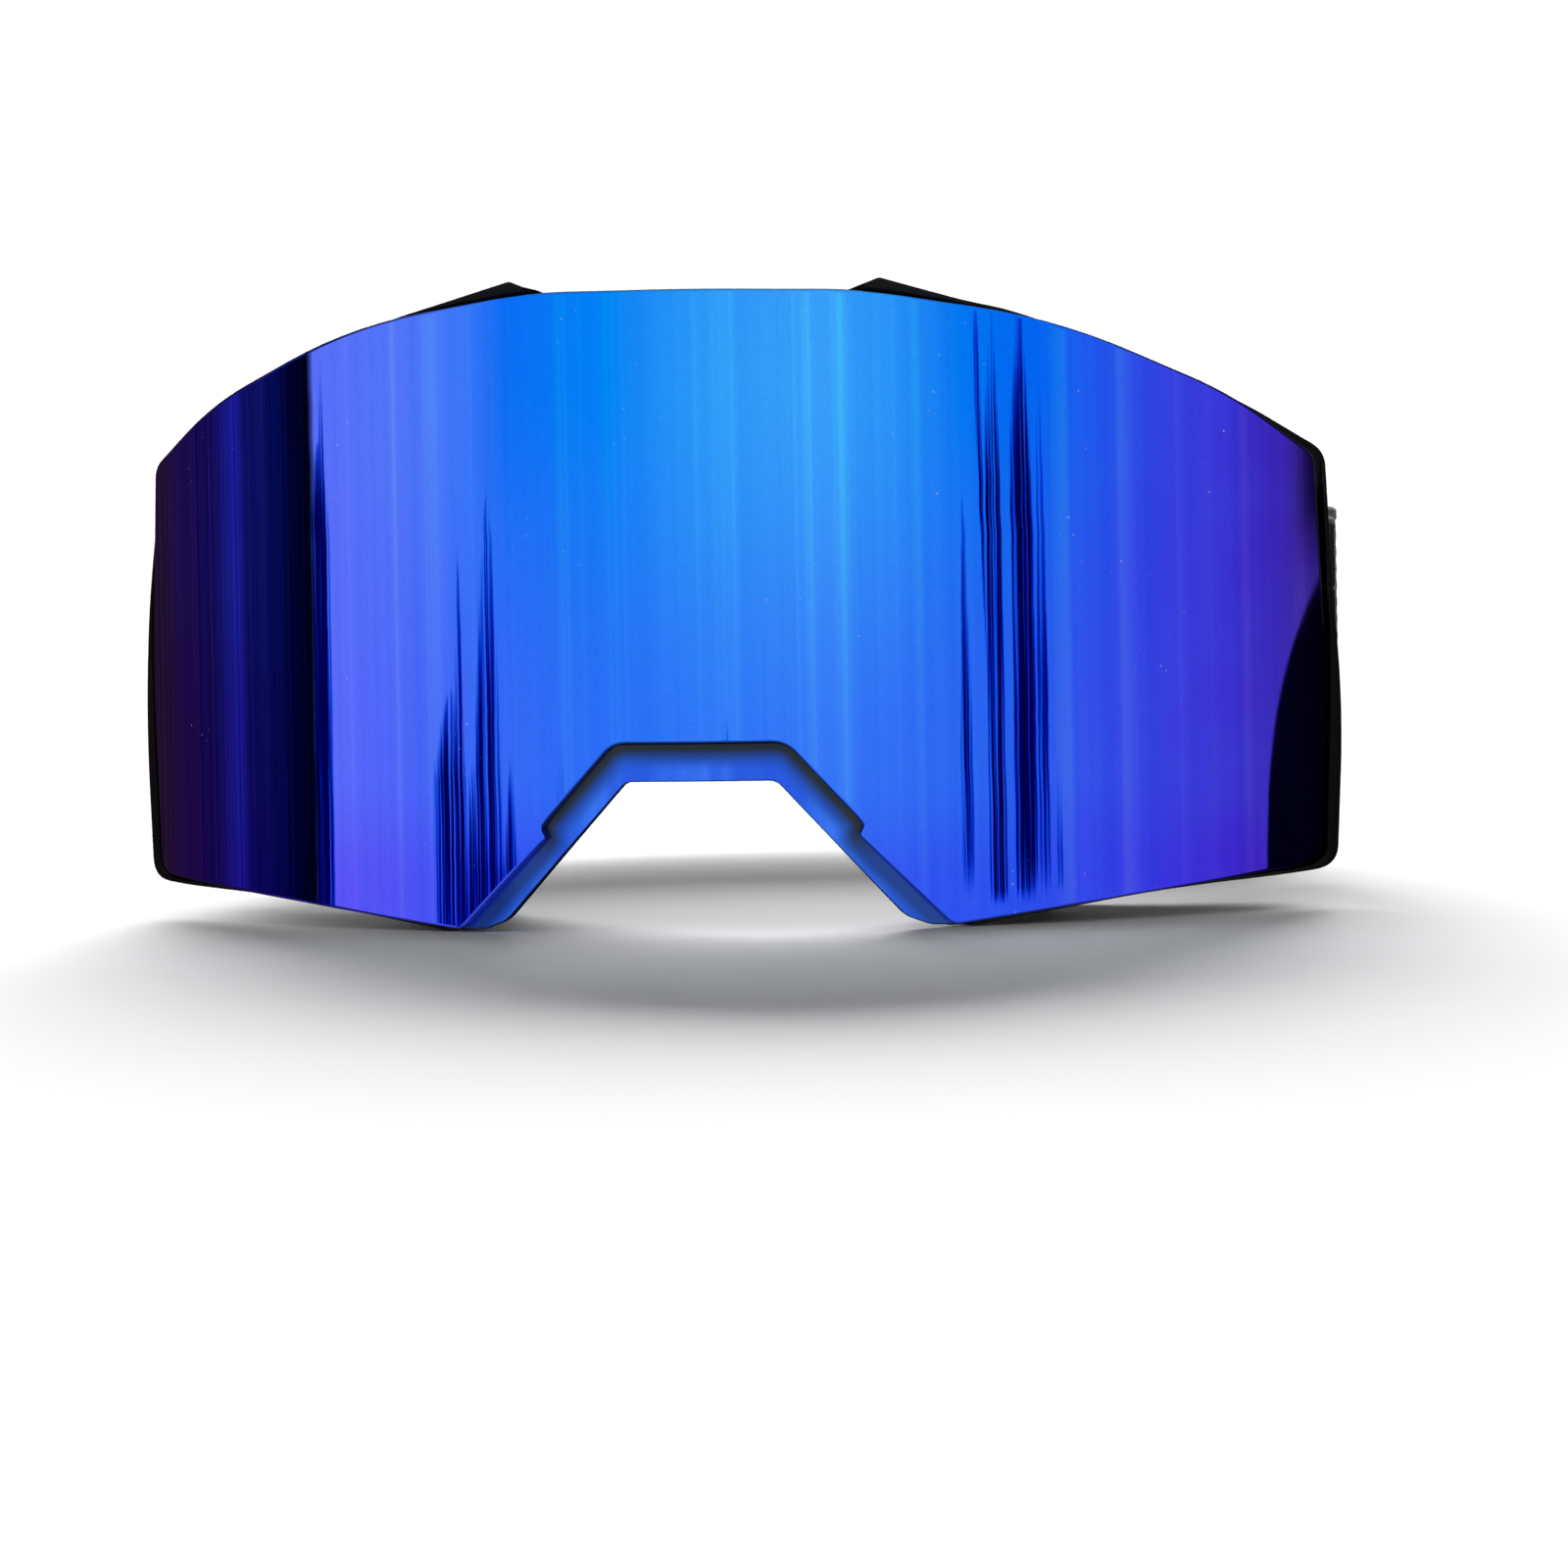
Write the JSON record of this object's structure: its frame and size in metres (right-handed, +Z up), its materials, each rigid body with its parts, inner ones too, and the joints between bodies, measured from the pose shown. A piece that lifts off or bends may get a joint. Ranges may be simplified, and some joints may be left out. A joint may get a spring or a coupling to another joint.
{
  "type": "ski goggles",
  "caption": "Wide frameless ski goggles with a cylindrical blue mirror lens, magnetic lens release, foam face seal and elastic strap.",
  "frame": {"origin": "bottom centre of the whole object's box: on the table under the middle of the goggles and strap", "axes": "+X to the wearer's left, +Y from the lens to the back of the strap, +Z up"},
  "size_m": [0.1846, 0.229, 0.0995],
  "materials": {
    "mirror_lens": "blue mirror coating on a polycarbonate lens",
    "mirror_trim": "the same blue mirror coating on the nose flange",
    "clear_pane": "clear with an anti-fog coating",
    "gasket_foam": "closed-cell foam tape",
    "rim_plastic": "satin moulded black",
    "magnet_nickel": "nickel plated",
    "shell_tpu": "soft moulded black with a fine texture",
    "vent_foam": "coarse open-cell foam",
    "firm_foam": "firm open-cell foam",
    "soft_foam": "soft open-cell foam",
    "fleece": "short-pile fleece",
    "hardware_plastic": "satin moulded black",
    "slider_plastic": "satin moulded black",
    "pin_steel": "turned steel",
    "strap_webbing": "woven elastic",
    "grip_silicone": "printed silicone"
  },
  "bodies": {
    "frame": {"frame_rim": "rim_plastic", "frame_magnets": "magnet_nickel", "face_shell": "shell_tpu", "vent_foam_top": "vent_foam", "vent_foam_bottom_left": "vent_foam", "vent_foam_bottom_right": "vent_foam", "foam_base": "firm_foam", "foam_comfort": "soft_foam", "face_fleece": "fleece", "bracket_left": "hardware_plastic", "bracket_right": "hardware_plastic", "hinge_pin_left": "pin_steel", "hinge_pin_right": "pin_steel", "strap_band": "strap_webbing", "strap_grip": "grip_silicone"},
    "lens": {"outer_lens": "mirror_lens", "inner_lens": "clear_pane", "lens_gasket": "gasket_foam", "lens_carrier": "rim_plastic", "nose_flange": "mirror_trim", "carrier_magnets": "magnet_nickel"},
    "outrigger_left": {"outrigger_left": "hardware_plastic", "strap_end_left": "strap_webbing", "strap_loop_left": "strap_webbing"},
    "outrigger_right": {"outrigger_right": "hardware_plastic", "strap_end_right": "strap_webbing", "strap_loop_right": "strap_webbing"},
    "slider_left": {"slider_left": "slider_plastic"},
    "slider_right": {"slider_right": "slider_plastic"}
  },
  "joints": [
    {"name": "lens_release", "type": "slide", "parent": "frame", "child": "lens", "axis": [0, -1, 0], "range_m": [0, 0.06]},
    {"name": "outrigger_left_swing", "type": "hinge", "parent": "frame", "child": "outrigger_left", "pos_m": [0.0862, -0.03485, 0.037], "axis": [0, 0, -1], "range_deg": [-6, 15], "deforming": ["strap_end_left"]},
    {"name": "outrigger_right_swing", "type": "hinge", "parent": "frame", "child": "outrigger_right", "pos_m": [-0.0862, -0.03485, 0.037], "axis": [0, 0, 1], "range_deg": [-6, 15], "deforming": ["strap_end_right"]},
    {"name": "slider_left_slide", "type": "slide", "parent": "outrigger_left", "child": "slider_left", "axis": [-0.1392, 0.9903, 0], "range_m": [-0.015, 0.02], "deforming": ["strap_loop_left"]},
    {"name": "slider_right_slide", "type": "slide", "parent": "outrigger_right", "child": "slider_right", "axis": [0.1392, 0.9903, 0], "range_m": [-0.015, 0.02], "deforming": ["strap_loop_right"]}
  ]
}
